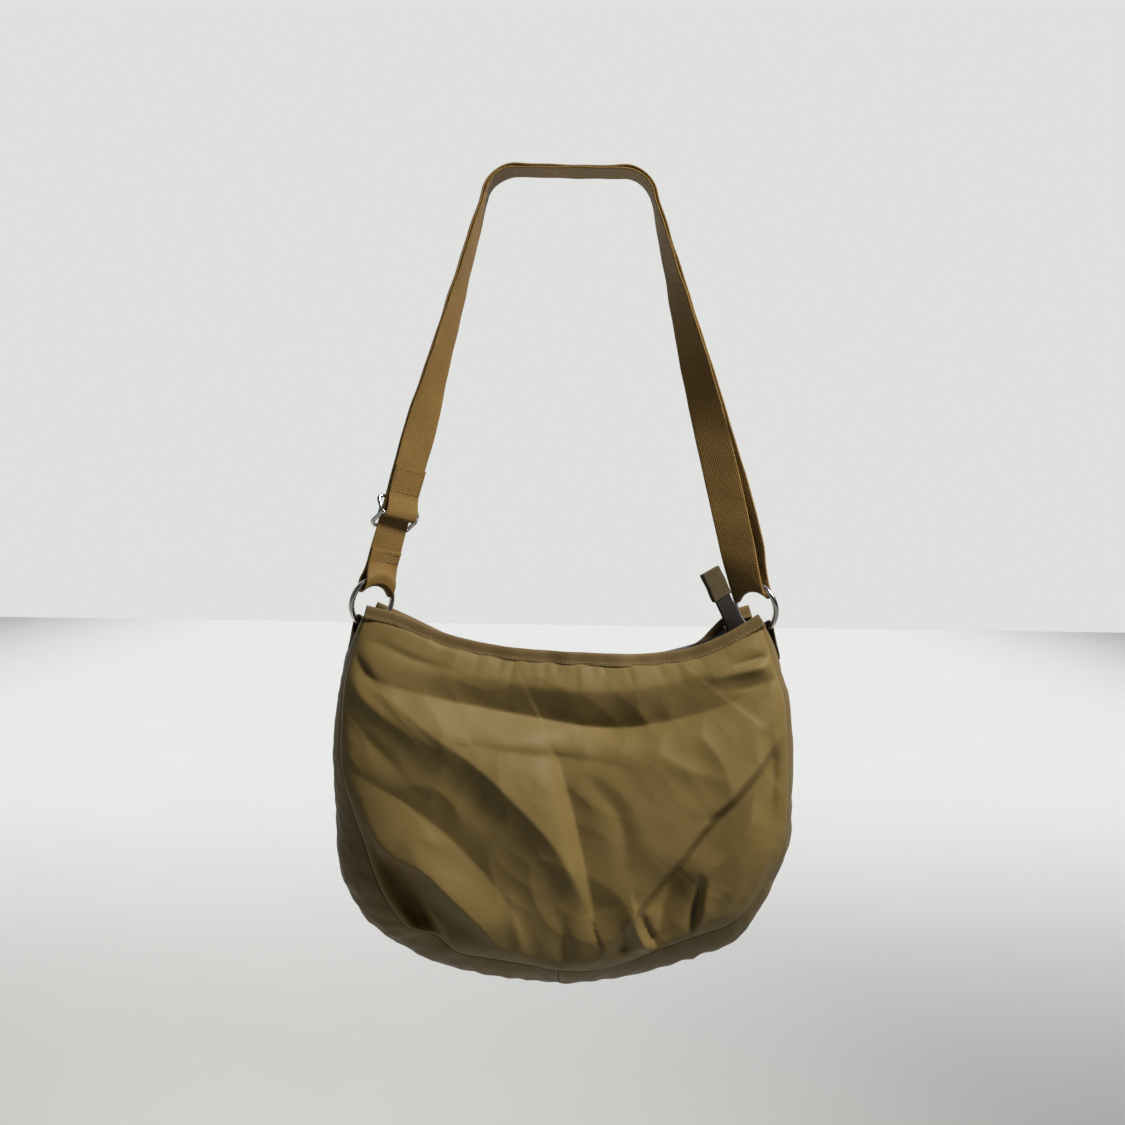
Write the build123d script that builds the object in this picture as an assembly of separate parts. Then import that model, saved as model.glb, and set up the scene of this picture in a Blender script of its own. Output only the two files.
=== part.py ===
from build123d import *
import math
import os

os.makedirs("parts", exist_ok=True)

# A soft shoulder bag hanging from its doubled webbing strap.
# X runs along the bag, -Y is its front, Z is up, and all sizes are in millimetres.
# The origin is under the middle of the strap's flat top, where a hook or a shoulder carries it.

# Strap webbing
webbing_width = 25.0
webbing_thickness = 1.4
layer_gap = 0.4
strap_drop = 281.5          # from the strap's underside to the top bend of each ring
strap_half_top = 60.0       # half the strap's width just under the two upper corners
strap_corner_radius = 22.0
strap_corner_drop = 22.0
strap_turn = 45.0           # how far each side of the strap has turned when it meets its ring
turn_above_seam = 25.8      # the turn is complete this far above the slider's sewn seam
loop_room = 2.4             # free space between a ring's wire and the webbing round it
loop_leg = 4.0              # straight webbing beside the wire before the layers close up
splay_length = 55.0         # the two layers come together over this length above the right ring
ring_seam_start = 11.0
ring_seam_length = 11.0
station_spacing = 16.0

# Rings and the fabric tabs that hold them
ring_inner_diameter = 30.0
wire_diameter = 3.8
tab_width = 16.0
tab_thickness = 1.4

# Strap slider
slider_wire = 3.0
slider_side_room = 2.0
slider_height = 24.0
slider_from_ring = 47.0     # from the ring's top bend to the slider's centre bar
slide_clearance = 0.3
slider_seam_start = 14.0
slider_seam_length = 22.0

# Bag body
bag_width = 322.0
bag_height = 270.0
widest_drop = 111.0         # from the rim's corners to the widest place
side_radius = 355.0
bottom_radius = 276.0
bottom_corner_radius = 55.0
rim_half_chord = 133.0
rim_sag = 31.0
rim_above_ring = 0.4
mouth_half_gap = 19.0
back_rim_lower = 6.0
front_seam_depth = 31.0     # from the middle plane to the front seam, at the bottom
back_seam_depth = 27.0
front_belly_depth = 46.0
back_belly_depth = 36.0
seam_inset = 9.0
belly_inset = 42.0
fabric_thickness = 1.2
lining_thickness = 0.6
lining_gap = 0.3
gusset_top_drop = 34.0      # the side bands start this far below the rim's corners

# Rim bindings
binding_height = 9.0
binding_thickness = 3.2

# Zip
tape_thickness = 0.8
tape_below_rim = 7.6
coil_height = 2.0
coil_width = 2.6
coil_half_gap = 3.0
tape_edge_inset = 0.8
zip_end_margin = 20.0
stop_length = 3.0
stop_gap = 1.0
stop_height = 2.2
stop_seat = 0.02
zip_slider_length = 13.0
zip_slider_width = 12.0
zip_plate = 1.0
zip_room = 0.3
pull_length = 24.0
pull_width = 7.0
pull_thickness = 1.4
pull_pin_radius = 0.8
pin_clearance = 0.05
lug_length = 4.4
lug_width = 2.0
tail_x = 119.0
tail_offset = 9.0           # the tail stands this far in front of the mouth's middle
tail_clearance = 2.5
tail_width = 14.0
tail_length = 22.0
tail_thickness = 2.0
tail_lean = 26.0
end_tab_length = 20.0
end_tab_width = 17.0
end_tab_thickness = 3.6

# Stitches
stitch_length = 2.2
stitch_gap = 1.2
stitch_thickness = 0.5
stitch_margin = 2.0

# Derived places
ring_radius = (ring_inner_diameter + wire_diameter) / 2
wire_radius = wire_diameter / 2
half_webbing = webbing_width / 2
layer_step = (webbing_thickness + layer_gap) / 2
side_run = strap_drop - strap_corner_drop
rim_corner_x = rim_half_chord
ring_centre_x = rim_corner_x + 1.6
strap_tilt = math.degrees(math.atan2(
    ring_centre_x - strap_half_top, side_run + ring_radius))
ring_centre_z = -strap_drop - ring_radius * math.cos(math.radians(strap_tilt))
rim_corner_z = ring_centre_z + rim_above_ring
bottom_z = rim_corner_z - bag_height
rim_radius = (rim_half_chord ** 2 + rim_sag ** 2) / (2 * rim_sag)
rim_centre_z = rim_corner_z - rim_sag + rim_radius
loop_inner = wire_radius + loop_room
loop_middle = loop_inner + webbing_thickness / 2
slider_bar_height = ring_radius + slider_from_ring
slider_seam_end = slider_seam_start + slider_seam_length
zip_radius = rim_radius + tape_below_rim
zip_half_angle = math.degrees(math.asin((rim_half_chord - zip_end_margin) / zip_radius))


def strap_frame(side, turn, drop):
    """Plane across the strap: x over its width, y up along it, z out of its inner face."""
    tilt = math.radians(strap_tilt)
    angle = math.radians(turn)
    outward = Vector(side * math.cos(tilt), 0, math.sin(tilt))
    down = Vector(side * math.sin(tilt), 0, -math.cos(tilt))
    across = outward * math.sin(angle) - Vector(0, 1, 0) * math.cos(angle)
    inward = outward * -math.cos(angle) - Vector(0, 1, 0) * math.sin(angle)
    ring_centre = Vector(side * ring_centre_x, 0, ring_centre_z)
    centre = ring_centre - down * drop
    return Plane(origin=centre, x_dir=across * side, z_dir=inward)


def turn_at(height):
    """Turn of the strap at a height above the ring's centre, measured along the strap."""
    full_height = side_run / math.cos(math.radians(strap_tilt)) + ring_radius
    turned_height = slider_bar_height + slider_seam_end + turn_above_seam
    share = (full_height - height) / (full_height - turned_height)
    return strap_turn * min(1.0, max(0.0, share))


def webbing_run(side, stations):
    """One layer of webbing through stations of (height above the ring's centre, offset)."""
    sections = []
    for height, offset in stations:
        frame = strap_frame(side, turn_at(height), height)
        cut = Plane(origin=frame.origin + frame.z_dir * offset,
                    x_dir=frame.x_dir, z_dir=frame.y_dir)
        sections.append(cut * Rectangle(webbing_width, webbing_thickness))
    return loft(sections, ruled=True)


def ring_solid(side):
    """A round wire ring in the plane of its side of the strap."""
    frame = strap_frame(side, strap_turn, 0)
    return frame * Torus(ring_radius, wire_radius)


def loop_solid(side, width, thickness, leg_length, upward):
    """Webbing bent round the ring's wire: a cupped bend and two flat legs."""
    outer = loop_inner + thickness
    sleeve = Torus(ring_radius, outer) - Torus(ring_radius, loop_inner)
    core = Cylinder(ring_radius, 4 * outer)
    window = Pos(0, (ring_radius + leg_length) / 2, 0) * Box(
        width, ring_radius + leg_length, 4 * outer)
    loop = (sleeve & core) & window
    for sign in (1, -1):
        leg = Pos(0, (ring_radius + leg_length) / 2, sign * (loop_inner + thickness / 2)) * Box(
            width, ring_radius + leg_length, thickness)
        loop += leg - core
    half_turn = 0 if upward else 180
    return strap_frame(side, strap_turn, 0) * (Rot(0, 0, half_turn) * loop)


# Bag outline: a sagging rim and a round bottom made of tangent arcs

def circle_meet(centre_a, radius_a, centre_b, radius_b, pick):
    """The meeting point of two circles that has the larger value of pick."""
    ax, az = centre_a
    bx, bz = centre_b
    dx = bx - ax
    dz = bz - az
    apart = math.hypot(dx, dz)
    along = (radius_a ** 2 - radius_b ** 2 + apart ** 2) / (2 * apart)
    aside = math.sqrt(radius_a ** 2 - along ** 2)
    mx = ax + along * dx / apart
    mz = az + along * dz / apart
    points = [(mx + aside * dz / apart, mz - aside * dx / apart),
              (mx - aside * dz / apart, mz + aside * dx / apart)]
    return max(points, key=pick)


def towards(centre, point, radius):
    """The point at a radius from a centre, in the direction of another point."""
    dx = point[0] - centre[0]
    dz = point[1] - centre[1]
    length = math.hypot(dx, dz)
    return (centre[0] + dx / length * radius, centre[1] + dz / length * radius)


side_centre = (bag_width / 2 - side_radius, rim_corner_z - widest_drop)
bottom_centre = (0.0, bottom_z + bottom_radius)
corner_centre = circle_meet(side_centre, side_radius - bottom_corner_radius,
                            bottom_centre, bottom_radius - bottom_corner_radius,
                            lambda point: point[0] - point[1])
rim_centre = (0.0, rim_centre_z)


def mirror_x(point):
    """The same point on the bag's left side."""
    return (-point[0], point[1])


def bag_outline(grow, rim_drop):
    """Closed face of the bag's front view, moved outwards by grow, its rim lowered."""
    corner = circle_meet(side_centre, side_radius + grow,
                         rim_centre, rim_radius + rim_drop,
                         lambda point: point[0])
    side_end = towards(side_centre, corner_centre, side_radius + grow)
    bottom_start = towards(bottom_centre, corner_centre, bottom_radius + grow)
    side_middle = towards(side_centre, ((corner[0] + side_end[0]) / 2,
                                        (corner[1] + side_end[1]) / 2), side_radius + grow)
    corner_middle = towards(corner_centre, ((side_end[0] + bottom_start[0]) / 2,
                                            (side_end[1] + bottom_start[1]) / 2),
                            bottom_corner_radius + grow)
    rim_middle = (0, rim_centre_z - rim_radius - rim_drop)
    bottom_middle = (0, bottom_centre[1] - bottom_radius - grow)
    arcs = [
        ThreePointArc(mirror_x(corner), rim_middle, corner),
        ThreePointArc(corner, side_middle, side_end),
        ThreePointArc(side_end, corner_middle, bottom_start),
        ThreePointArc(bottom_start, bottom_middle, mirror_x(bottom_start)),
        ThreePointArc(mirror_x(bottom_start), mirror_x(corner_middle), mirror_x(side_end)),
        ThreePointArc(mirror_x(side_end), mirror_x(side_middle), mirror_x(corner)),
    ]
    return make_face(arcs)


def depth_plane(top_y, bottom_y):
    """A plane through the rim at top_y and the bottom at bottom_y, its local y up."""
    lean = math.degrees(math.atan2(bottom_y - top_y, rim_corner_z - bottom_z))
    height = rim_corner_z
    upright = Plane(origin=(0, top_y, height), x_dir=(1, 0, 0), z_dir=(0, -1, 0))
    return upright.rotated((lean, 0, 0))


def section(grow, rim_drop, top_y, bottom_y):
    """The bag's outline laid on the plane that leans from top_y to bottom_y."""
    return depth_plane(top_y, bottom_y) * (Pos(0, -rim_corner_z, 0) * bag_outline(grow, rim_drop))


seam_top = mouth_half_gap + binding_thickness / 2
FRONT = -1
BACK = 1


def bag_side(facing, inset):
    """Seam band volume and belly volume of the bag's front or back, without its walls."""
    rim = binding_height + inset
    seam_depth = front_seam_depth
    belly_depth = front_belly_depth
    if facing == BACK:
        rim += back_rim_lower
        seam_depth = back_seam_depth
        belly_depth = back_belly_depth
    middle = section(-inset, rim, 0, 0)
    seam = section(-seam_inset - inset, rim, facing * seam_top, facing * seam_depth)
    belly = section(-seam_inset - belly_inset - inset, rim + belly_inset,
                    facing * (belly_depth - inset - 3), facing * (belly_depth - inset))
    return loft([middle, seam], ruled=True), loft([seam, belly], ruled=True)


def wall(facing, outer_inset, inner_inset):
    """The seam band's wall and the panel between two insets, on one face of the bag."""
    outer_band, outer_bulge = bag_side(facing, outer_inset)
    inner_band, inner_bulge = bag_side(facing, inner_inset)
    return outer_band - inner_band, outer_bulge - inner_bulge


def gusset_cut(side_only):
    """The space that the side bands keep: below their upper ends, on one side or on both."""
    low = bottom_z - seam_inset
    high = rim_corner_z - gusset_top_drop
    half = bag_width
    box = Pos(0, 0, (low + high) / 2) * Box(2 * half, bag_width, high - low)
    rim_space = Pos(0, 0, rim_centre_z) * Rot(90, 0, 0) * Cylinder(
        rim_radius + binding_height + back_rim_lower + 4, bag_width)
    mouth = rim_space & (Pos(0, 0, rim_centre_z) * Box(
        2 * (rim_corner_x - 2), bag_width, 2 * (rim_radius + bag_height)))
    kept = box - mouth
    if side_only == 0:
        return kept
    tall = 4 * (bag_height + bag_width)
    return kept & (Pos(side_only * half / 2, 0, 0) * Box(half, bag_width, tall))


def rim_strip(facing, upper, lower, inner_y, outer_y, half_angle):
    """A strip that follows the rim's sag, between two depths below the front rim."""
    ring = Cylinder(rim_radius + lower, outer_y - inner_y)
    ring -= Cylinder(rim_radius + upper, outer_y - inner_y)
    reach = 2 * rim_radius
    corner_x = reach * math.sin(half_angle)
    corner_z = -reach * math.cos(half_angle)
    wedge = make_face(Polyline((0, 0), (-corner_x, corner_z), (corner_x, corner_z), (0, 0)))
    wedge = Rot(90, 0, 0) * extrude(wedge, amount=bag_width, both=True)
    middle_y = facing * (inner_y + outer_y) / 2
    return Pos(0, middle_y, rim_centre_z) * ((Rot(90, 0, 0) * ring) & wedge)


# Webbing

tilt_angle = math.radians(strap_tilt)
top_middle_z = webbing_thickness + layer_gap / 2
corner_height = (top_middle_z - ring_centre_z) / math.cos(tilt_angle)
corner_x = ring_centre_x - corner_height * math.sin(tilt_angle)
corner_tangent = strap_corner_radius * math.tan((math.pi / 2 - tilt_angle) / 2)
run_top = corner_height - corner_tangent
loop_top = ring_radius + loop_leg
seam_top_height = ring_radius + ring_seam_start + ring_seam_length


def arch_wire(shift):
    """The strap's line over the top, moved outwards by shift."""
    x = corner_x + shift * (1 - math.sin(tilt_angle)) / math.cos(tilt_angle)
    z = top_middle_z + shift
    end_x = corner_x + corner_tangent * math.sin(tilt_angle) + shift * math.cos(tilt_angle)
    end_z = top_middle_z - corner_tangent * math.cos(tilt_angle) + shift * math.sin(tilt_angle)
    points = [(-end_x, end_z), (-x, z), (x, z), (end_x, end_z)]
    radius = strap_corner_radius + shift
    left = ThreePointArc(*corner_arc(points[0], points[1], radius, -1))
    right = ThreePointArc(*corner_arc(points[3], points[2], radius, 1))
    return left, Line(left @ 1, right @ 1), right


def corner_arc(low_end, corner, radius, side):
    """Three points of the arc that turns from a side of the strap on to its flat top."""
    flat_end = (corner[0] - side * corner_tangent_of(radius), corner[1])
    centre = (flat_end[0], corner[1] - radius)
    half_turn = (math.pi / 2 - tilt_angle) / 2
    middle = (centre[0] + side * radius * math.sin(half_turn),
              centre[1] + radius * math.cos(half_turn))
    return low_end, middle, flat_end


def corner_tangent_of(radius):
    """Distance from the corner to where an arc of a radius leaves the straight."""
    return radius * math.tan((math.pi / 2 - tilt_angle) / 2)


def arch_solid(inner_shift, outer_shift):
    """One layer of webbing over the strap's flat top and its two round corners."""
    left_in, flat_in, right_in = arch_wire(inner_shift)
    left_out, flat_out, right_out = arch_wire(outer_shift)
    ends = [Line(left_in @ 0, left_out @ 0), Line(right_in @ 0, right_out @ 0)]
    face = make_face([left_in, flat_in, right_in, left_out, flat_out, right_out] + ends)
    return extrude(Plane.XZ * face, amount=half_webbing, both=True)


def evenly(bottom, top, offset):
    """Stations with one offset from bottom to top, no further apart than the spacing."""
    count = max(1, math.ceil((top - bottom) / station_spacing))
    step = (top - bottom) / count
    return [(bottom + step * index, offset) for index in range(count + 1)]


def stitch_row(width, row_height, surface):
    """Short stitches side by side across a strap, in its own plane."""
    pitch = stitch_length + stitch_gap
    count = int((width - 2 * stitch_margin) / pitch)
    start = -(count - 1) * pitch / 2
    return [Pos(start + index * pitch, row_height, surface + stitch_thickness / 2) * Box(
        stitch_length, stitch_thickness, stitch_thickness) for index in range(count)]


def right_layer(sign):
    """A layer of the right side, from the top to the bend round the right ring."""
    stations = [(loop_top, sign * loop_middle)]
    stations += evenly(loop_top + splay_length, run_top, sign * layer_step)
    return webbing_run(1, stations)


def left_loop():
    """The webbing's end, turned round the left ring and sewn back on itself."""
    back = [(loop_top, -loop_middle), (ring_radius + ring_seam_start, -layer_step),
            (seam_top_height, -layer_step)]
    folded = webbing_thickness - layer_step
    end = [(loop_top, loop_middle), (ring_radius + ring_seam_start, folded),
           (seam_top_height - stitch_margin, folded)]
    loop = loop_solid(-1, webbing_width, webbing_thickness, loop_leg, True)
    return loop + webbing_run(-1, back) + webbing_run(-1, end)


def placed(side, height, pieces):
    """Pieces drawn flat on the strap, moved to a height above the ring's centre."""
    frame = strap_frame(side, turn_at(height), height)
    return Compound([frame * piece for piece in pieces])


# Strap slider

bar_bend = slider_wire / 2 + slide_clearance + webbing_thickness / 2
bar_offset = layer_step + bar_bend
end_bar_offset = -(layer_step + bar_bend)
rail_x = half_webbing + slider_side_room + slider_wire / 2


def rod(start, end, radius):
    """A round rod between two points, with round ends."""
    direction = Vector(*end) - Vector(*start)
    shaft = Plane(origin=start, z_dir=direction) * Cylinder(
        radius, direction.length, align=(Align.CENTER, Align.CENTER, Align.MIN))
    return shaft + Pos(*start) * Sphere(radius) + Pos(*end) * Sphere(radius)


def slider_frame():
    """A wire frame with two end bars behind the webbing and a middle bar before it."""
    reach = (slider_height - slider_wire) / 2
    radius = slider_wire / 2
    frame = rod((-rail_x, 0, bar_offset), (rail_x, 0, bar_offset), radius)
    for end in (-reach, reach):
        frame += rod((-rail_x, end, end_bar_offset), (rail_x, end, end_bar_offset), radius)
        for x in (-rail_x, rail_x):
            frame += rod((x, 0, bar_offset), (x, end, end_bar_offset), radius)
    return frame


def slider_loop():
    """The webbing's other end, folded round the middle bar and sewn."""
    half = webbing_thickness / 2
    folded = layer_step + webbing_thickness
    far_side = bar_offset + bar_bend
    bend = Pos(0, bar_offset) * (Circle(bar_bend + half) - Circle(bar_bend - half))
    bend &= Pos(-bar_bend, bar_offset) * Rectangle(2 * bar_bend, 4 * bar_bend)
    leg = Pos(slider_seam_end / 2, layer_step) * Rectangle(slider_seam_end, webbing_thickness)
    slope = make_face(Polyline(
        (0, far_side - half), (0, far_side + half),
        (slider_seam_start, folded + half), (slider_seam_start, folded - half),
        (0, far_side - half)))
    end_length = slider_seam_length - stitch_margin
    end = Pos(slider_seam_start + end_length / 2, folded) * Rectangle(
        end_length, webbing_thickness)
    profile = bend + leg + slope + end
    across = Plane(origin=(0, 0, 0), x_dir=(0, 1, 0), z_dir=(1, 0, 0))
    return across * extrude(profile, amount=half_webbing, both=True)


# Zip, in a frame whose x follows the rim and whose z points to the rim's centre

def zip_frame(angle):
    """The frame at an angle from the middle of the zip, on top of its tapes."""
    return Plane(origin=(zip_radius * math.sin(angle), 0,
                         rim_centre_z - zip_radius * math.cos(angle)),
                 x_dir=(math.cos(angle), 0, math.sin(angle)),
                 z_dir=(-math.sin(angle), 0, math.cos(angle)))


zip_half = math.radians(zip_half_angle)
stop_angle = zip_half + (stop_gap + stop_length / 2) / zip_radius
tape_half = zip_half + (2 * stop_gap + stop_length) / zip_radius
slider_rest = zip_half - (zip_slider_length / 2 + stop_gap) / zip_radius
plate_top = coil_height + zip_room + zip_plate
pin_height = plate_top + 2 * zip_room + pull_thickness / 2
lug_top = pin_height + pull_pin_radius + pin_clearance + zip_plate


def zip_slider_solid():
    """Two plates joined by a post, and a lug with a hole for the pull's pin."""
    low = -tape_thickness - zip_room - zip_plate
    post_width = 2 * (coil_half_gap - 2 * zip_room)
    slider = Pos(0, 0, low + zip_plate / 2) * Box(
        zip_slider_length, zip_slider_width, zip_plate)
    slider += Pos(0, 0, plate_top - zip_plate / 2) * Box(
        zip_slider_length, zip_slider_width, zip_plate)
    slider += Pos(0, 0, (low + plate_top) / 2) * Box(
        zip_slider_length / 2, post_width, plate_top - low)
    slider += Pos(0, 0, (plate_top + lug_top) / 2) * Box(
        lug_length, lug_width, lug_top - plate_top)
    slider -= Pos(0, 0, pin_height) * Rot(90, 0, 0) * Cylinder(
        pull_pin_radius + pin_clearance, 2 * zip_slider_width)
    return slider


def zip_pull_solid():
    """A flat pull whose fork holds a pin through the slider's lug."""
    slot_width = lug_width + 2 * zip_room
    slot_end = lug_length / 2 + 3 * zip_room
    plate = Pos((pull_pin_radius - pull_length) / 2, 0, pin_height) * Box(
        pull_length + pull_pin_radius, pull_width, pull_thickness)
    slot = Pos(0, 0, pin_height) * Box(2 * slot_end, slot_width, 2 * pull_thickness)
    pin = Pos(0, 0, pin_height) * Rot(90, 0, 0) * Cylinder(
        pull_pin_radius, (pull_width + slot_width) / 2)
    return plate - slot + pin


def save(name, solid):
    """Write one piece and print what it holds."""
    export_step(solid, "parts/%s.step" % name)
    print(name, round(solid.volume, 1), len(solid.solids()))


# Bag body
front_band, front_panel = wall(FRONT, 0.0, fabric_thickness)
back_band, back_panel = wall(BACK, 0.0, fabric_thickness)
lining_outer = fabric_thickness + lining_gap
lining_inner = lining_outer + lining_thickness
front_lining_band, front_lining = wall(FRONT, lining_outer, lining_inner)
back_lining_band, back_lining = wall(BACK, lining_outer, lining_inner)
band = front_band + back_band
lining_band = front_lining_band + back_lining_band
save("front_panel", front_panel)
save("back_panel", back_panel)
save("gusset_left", band & gusset_cut(-1))
save("gusset_right", band & gusset_cut(1))
save("front_lining", front_lining)
save("back_lining", back_lining)
save("gusset_lining", lining_band & gusset_cut(0))

# Rim bindings, zip tapes and zip coils
rim_angle = math.asin(rim_half_chord / rim_radius)
rim_outside = mouth_half_gap + binding_thickness
coil_outside = coil_half_gap + coil_width
for label, facing, lowered in (("front", FRONT, 0.0), ("back", BACK, back_rim_lower)):
    save(label + "_rim_binding", rim_strip(
        facing, lowered, lowered + binding_height, mouth_half_gap, rim_outside, rim_angle))
    save("zip_tape_" + label, rim_strip(
        facing, tape_below_rim, tape_below_rim + tape_thickness,
        coil_half_gap + tape_edge_inset, mouth_half_gap, tape_half))
    save("zip_coil_" + label, rim_strip(
        facing, tape_below_rim - coil_height, tape_below_rim,
        coil_half_gap, coil_outside, zip_half))
stop = Pos(0, 0, stop_height / 2 + stop_seat) * Box(stop_length, 2 * coil_outside, stop_height)
save("zip_end_stops", Compound([zip_frame(angle) * stop for angle in (-stop_angle, stop_angle)]))
left_end = zip_frame(-slider_rest)
save("zip_slider", left_end * zip_slider_solid())
save("zip_pull", left_end * (Rot(0, 0, 180) * zip_pull_solid()))

# Zip tail and its end tab
tail_drop = math.sqrt(zip_radius ** 2 - tail_x ** 2)
tail_foot = Vector(tail_x, -tail_offset, rim_centre_z - tail_drop + tail_clearance)
lean_angle = math.radians(tail_lean)
tail_plane = Plane(origin=tail_foot, x_dir=(math.cos(lean_angle), 0, math.sin(lean_angle)),
                   z_dir=(0, -1, 0))
save("zip_tail_tape", tail_plane * (Pos(0, tail_length / 2, 0) * Box(
    tail_width, tail_length, tail_thickness)))
save("zip_end_tab", tail_plane * (Pos(0, tail_length + end_tab_length / 2, 0) * Box(
    end_tab_width, end_tab_length, end_tab_thickness)))

# Rings and their tabs
tab_foot_z = rim_corner_z - gusset_top_drop
tab_foot_x = side_centre[0] + math.sqrt(
    side_radius ** 2 - (tab_foot_z - side_centre[1]) ** 2) - 2 * fabric_thickness
for label, side in (("left", -1), ("right", 1)):
    save(label + "_ring", ring_solid(side))
    hold = strap_frame(side, strap_turn, -loop_top)
    upper = Plane(origin=hold.origin, x_dir=hold.x_dir, z_dir=hold.y_dir) * Rectangle(
        tab_width, 2 * (loop_inner + tab_thickness))
    lower = Plane(origin=(side * tab_foot_x, 0, tab_foot_z), x_dir=(0, -side, 0),
                  z_dir=(0, 0, 1)) * Rectangle(tab_width, 4 * fabric_thickness)
    tab = loop_solid(side, tab_width, tab_thickness, loop_leg, False)
    save(label + "_ring_tab", loft([lower, upper], ruled=True) + tab)

# Strap webbing, in the spans between its bends
save("webbing_top_outer", arch_solid(layer_gap / 2, layer_gap / 2 + webbing_thickness))
save("webbing_top_inner", arch_solid(-layer_gap / 2 - webbing_thickness, -layer_gap / 2))
save("webbing_right_outer", right_layer(-1))
save("webbing_right_inner", right_layer(1))
save("webbing_right_bend", loop_solid(
    1, webbing_width, webbing_thickness, loop_leg, True))
save("webbing_left_outer", webbing_run(-1, evenly(seam_top_height, run_top, -layer_step)))
save("webbing_left_inner", webbing_run(
    -1, evenly(slider_bar_height + slider_seam_end, run_top, layer_step)))
save("webbing_left_end", left_loop())

# Stitches and strap slider
ring_seam_end = ring_seam_start + ring_seam_length
ring_end_surface = 1.5 * webbing_thickness - layer_step
ring_rows = []
for height in (ring_seam_start + stitch_margin, ring_seam_end - 2 * stitch_margin):
    ring_rows += stitch_row(webbing_width, ring_radius + height, ring_end_surface)
save("ring_end_stitching", placed(-1, 0, ring_rows))
slider_rows = []
for height in (slider_seam_start + stitch_margin, slider_seam_end - 2 * stitch_margin):
    slider_rows += stitch_row(webbing_width, height, layer_step + 1.5 * webbing_thickness)
save("slider_end_stitching", placed(-1, slider_bar_height, slider_rows))
save("strap_slider", placed(-1, slider_bar_height, [slider_frame()]))
save("webbing_slider_end", placed(-1, slider_bar_height, [slider_loop()]))
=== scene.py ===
"""Sling bag: the visible fabric, webbing and metal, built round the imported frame."""
import math

import bpy
import numpy as np
from mathutils import Matrix, Vector, noise


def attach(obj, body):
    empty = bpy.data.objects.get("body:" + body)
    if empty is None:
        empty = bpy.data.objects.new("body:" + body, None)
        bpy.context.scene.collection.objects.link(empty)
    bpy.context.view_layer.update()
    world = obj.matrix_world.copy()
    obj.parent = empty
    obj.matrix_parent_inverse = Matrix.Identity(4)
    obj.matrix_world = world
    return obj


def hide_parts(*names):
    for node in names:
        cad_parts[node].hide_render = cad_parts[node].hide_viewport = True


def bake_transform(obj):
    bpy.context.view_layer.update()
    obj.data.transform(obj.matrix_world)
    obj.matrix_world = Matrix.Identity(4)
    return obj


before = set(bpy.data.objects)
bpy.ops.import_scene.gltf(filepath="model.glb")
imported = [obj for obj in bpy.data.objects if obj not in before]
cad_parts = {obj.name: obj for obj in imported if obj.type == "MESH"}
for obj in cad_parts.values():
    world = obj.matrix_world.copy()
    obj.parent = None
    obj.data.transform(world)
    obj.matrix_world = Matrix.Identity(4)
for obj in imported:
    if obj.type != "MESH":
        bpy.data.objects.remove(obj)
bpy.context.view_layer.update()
MM = 0.001
LIFT = 6.525            # the shapes below are drawn this far under the frame's own heights
CLOTH = 0.9
LINING_CLOTH = 0.5
LINING_INSET = 1.5
RIM_TOP = -304.0
BAG_HEIGHT = 270.0
MOUTH_HALF = 20.6       # from the middle plane to each rim
FRONT_FLARE = 10.4      # the seams stand this much further out at the bottom
BACK_FLARE = 6.4
FRONT_BELLY = 13.5
BACK_BELLY = 9.5
PANEL_DROP = 6.5        # a panel's edge is hidden this far down inside its binding
BINDING_HEIGHT = 9.0
FOLD_EDGE = 6.0         # folds fade out towards a line this far under a rim

# ---------------------------------------------------------------- curves and meshes


def lengths_along(path):
    """Length from a path's start to each of its points."""
    steps = np.linalg.norm(np.diff(path, axis=0), axis=1)
    return np.concatenate([[0], np.cumsum(steps)])


def rows_at(wanted, along, rows):
    """Rows of numbers read off at wanted places along them."""
    return np.stack([np.interp(wanted, along, column) for column in rows.T], axis=1)


def unit(vectors):
    """Vectors brought to length one."""
    return vectors / np.linalg.norm(vectors, axis=-1, keepdims=True)


def tangents_of(path):
    """Unit directions along an open path."""
    return unit(np.gradient(path, axis=0))


def smooth_curve(stations, count):
    """Catmull-Rom curve through rows of numbers, evenly spaced by its first three columns."""
    rows = np.array(stations, float)
    first, last = 2 * rows[0] - rows[1], 2 * rows[-1] - rows[-2]
    padded = np.vstack([first, rows, last])
    samples = []
    for index in range(1, len(padded) - 2):
        a, b, c, d = padded[index - 1:index + 3]
        for t in np.linspace(0, 1, 24, endpoint=False):
            samples.append(0.5 * (2 * b + (c - a) * t + (2 * a - 5 * b + 4 * c - d) * t ** 2
                                  + (3 * b - a - 3 * c + d) * t ** 3))
    samples.append(rows[-1])
    samples = np.array(samples)
    along = lengths_along(samples[:, :3])
    return rows_at(np.linspace(0, along[-1], count), along, samples)


def ease(value):
    """Smooth step from 0 to 1."""
    value = np.clip(value, 0, 1)
    return value * value * (3 - 2 * value)


def grid_normals(grid):
    """Unit normals of a grid of points."""
    along = np.gradient(grid, axis=0)
    across = np.gradient(grid, axis=1)
    normal = np.cross(along, across)
    return normal / np.maximum(np.linalg.norm(normal, axis=2, keepdims=True), 1e-9)


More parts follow.
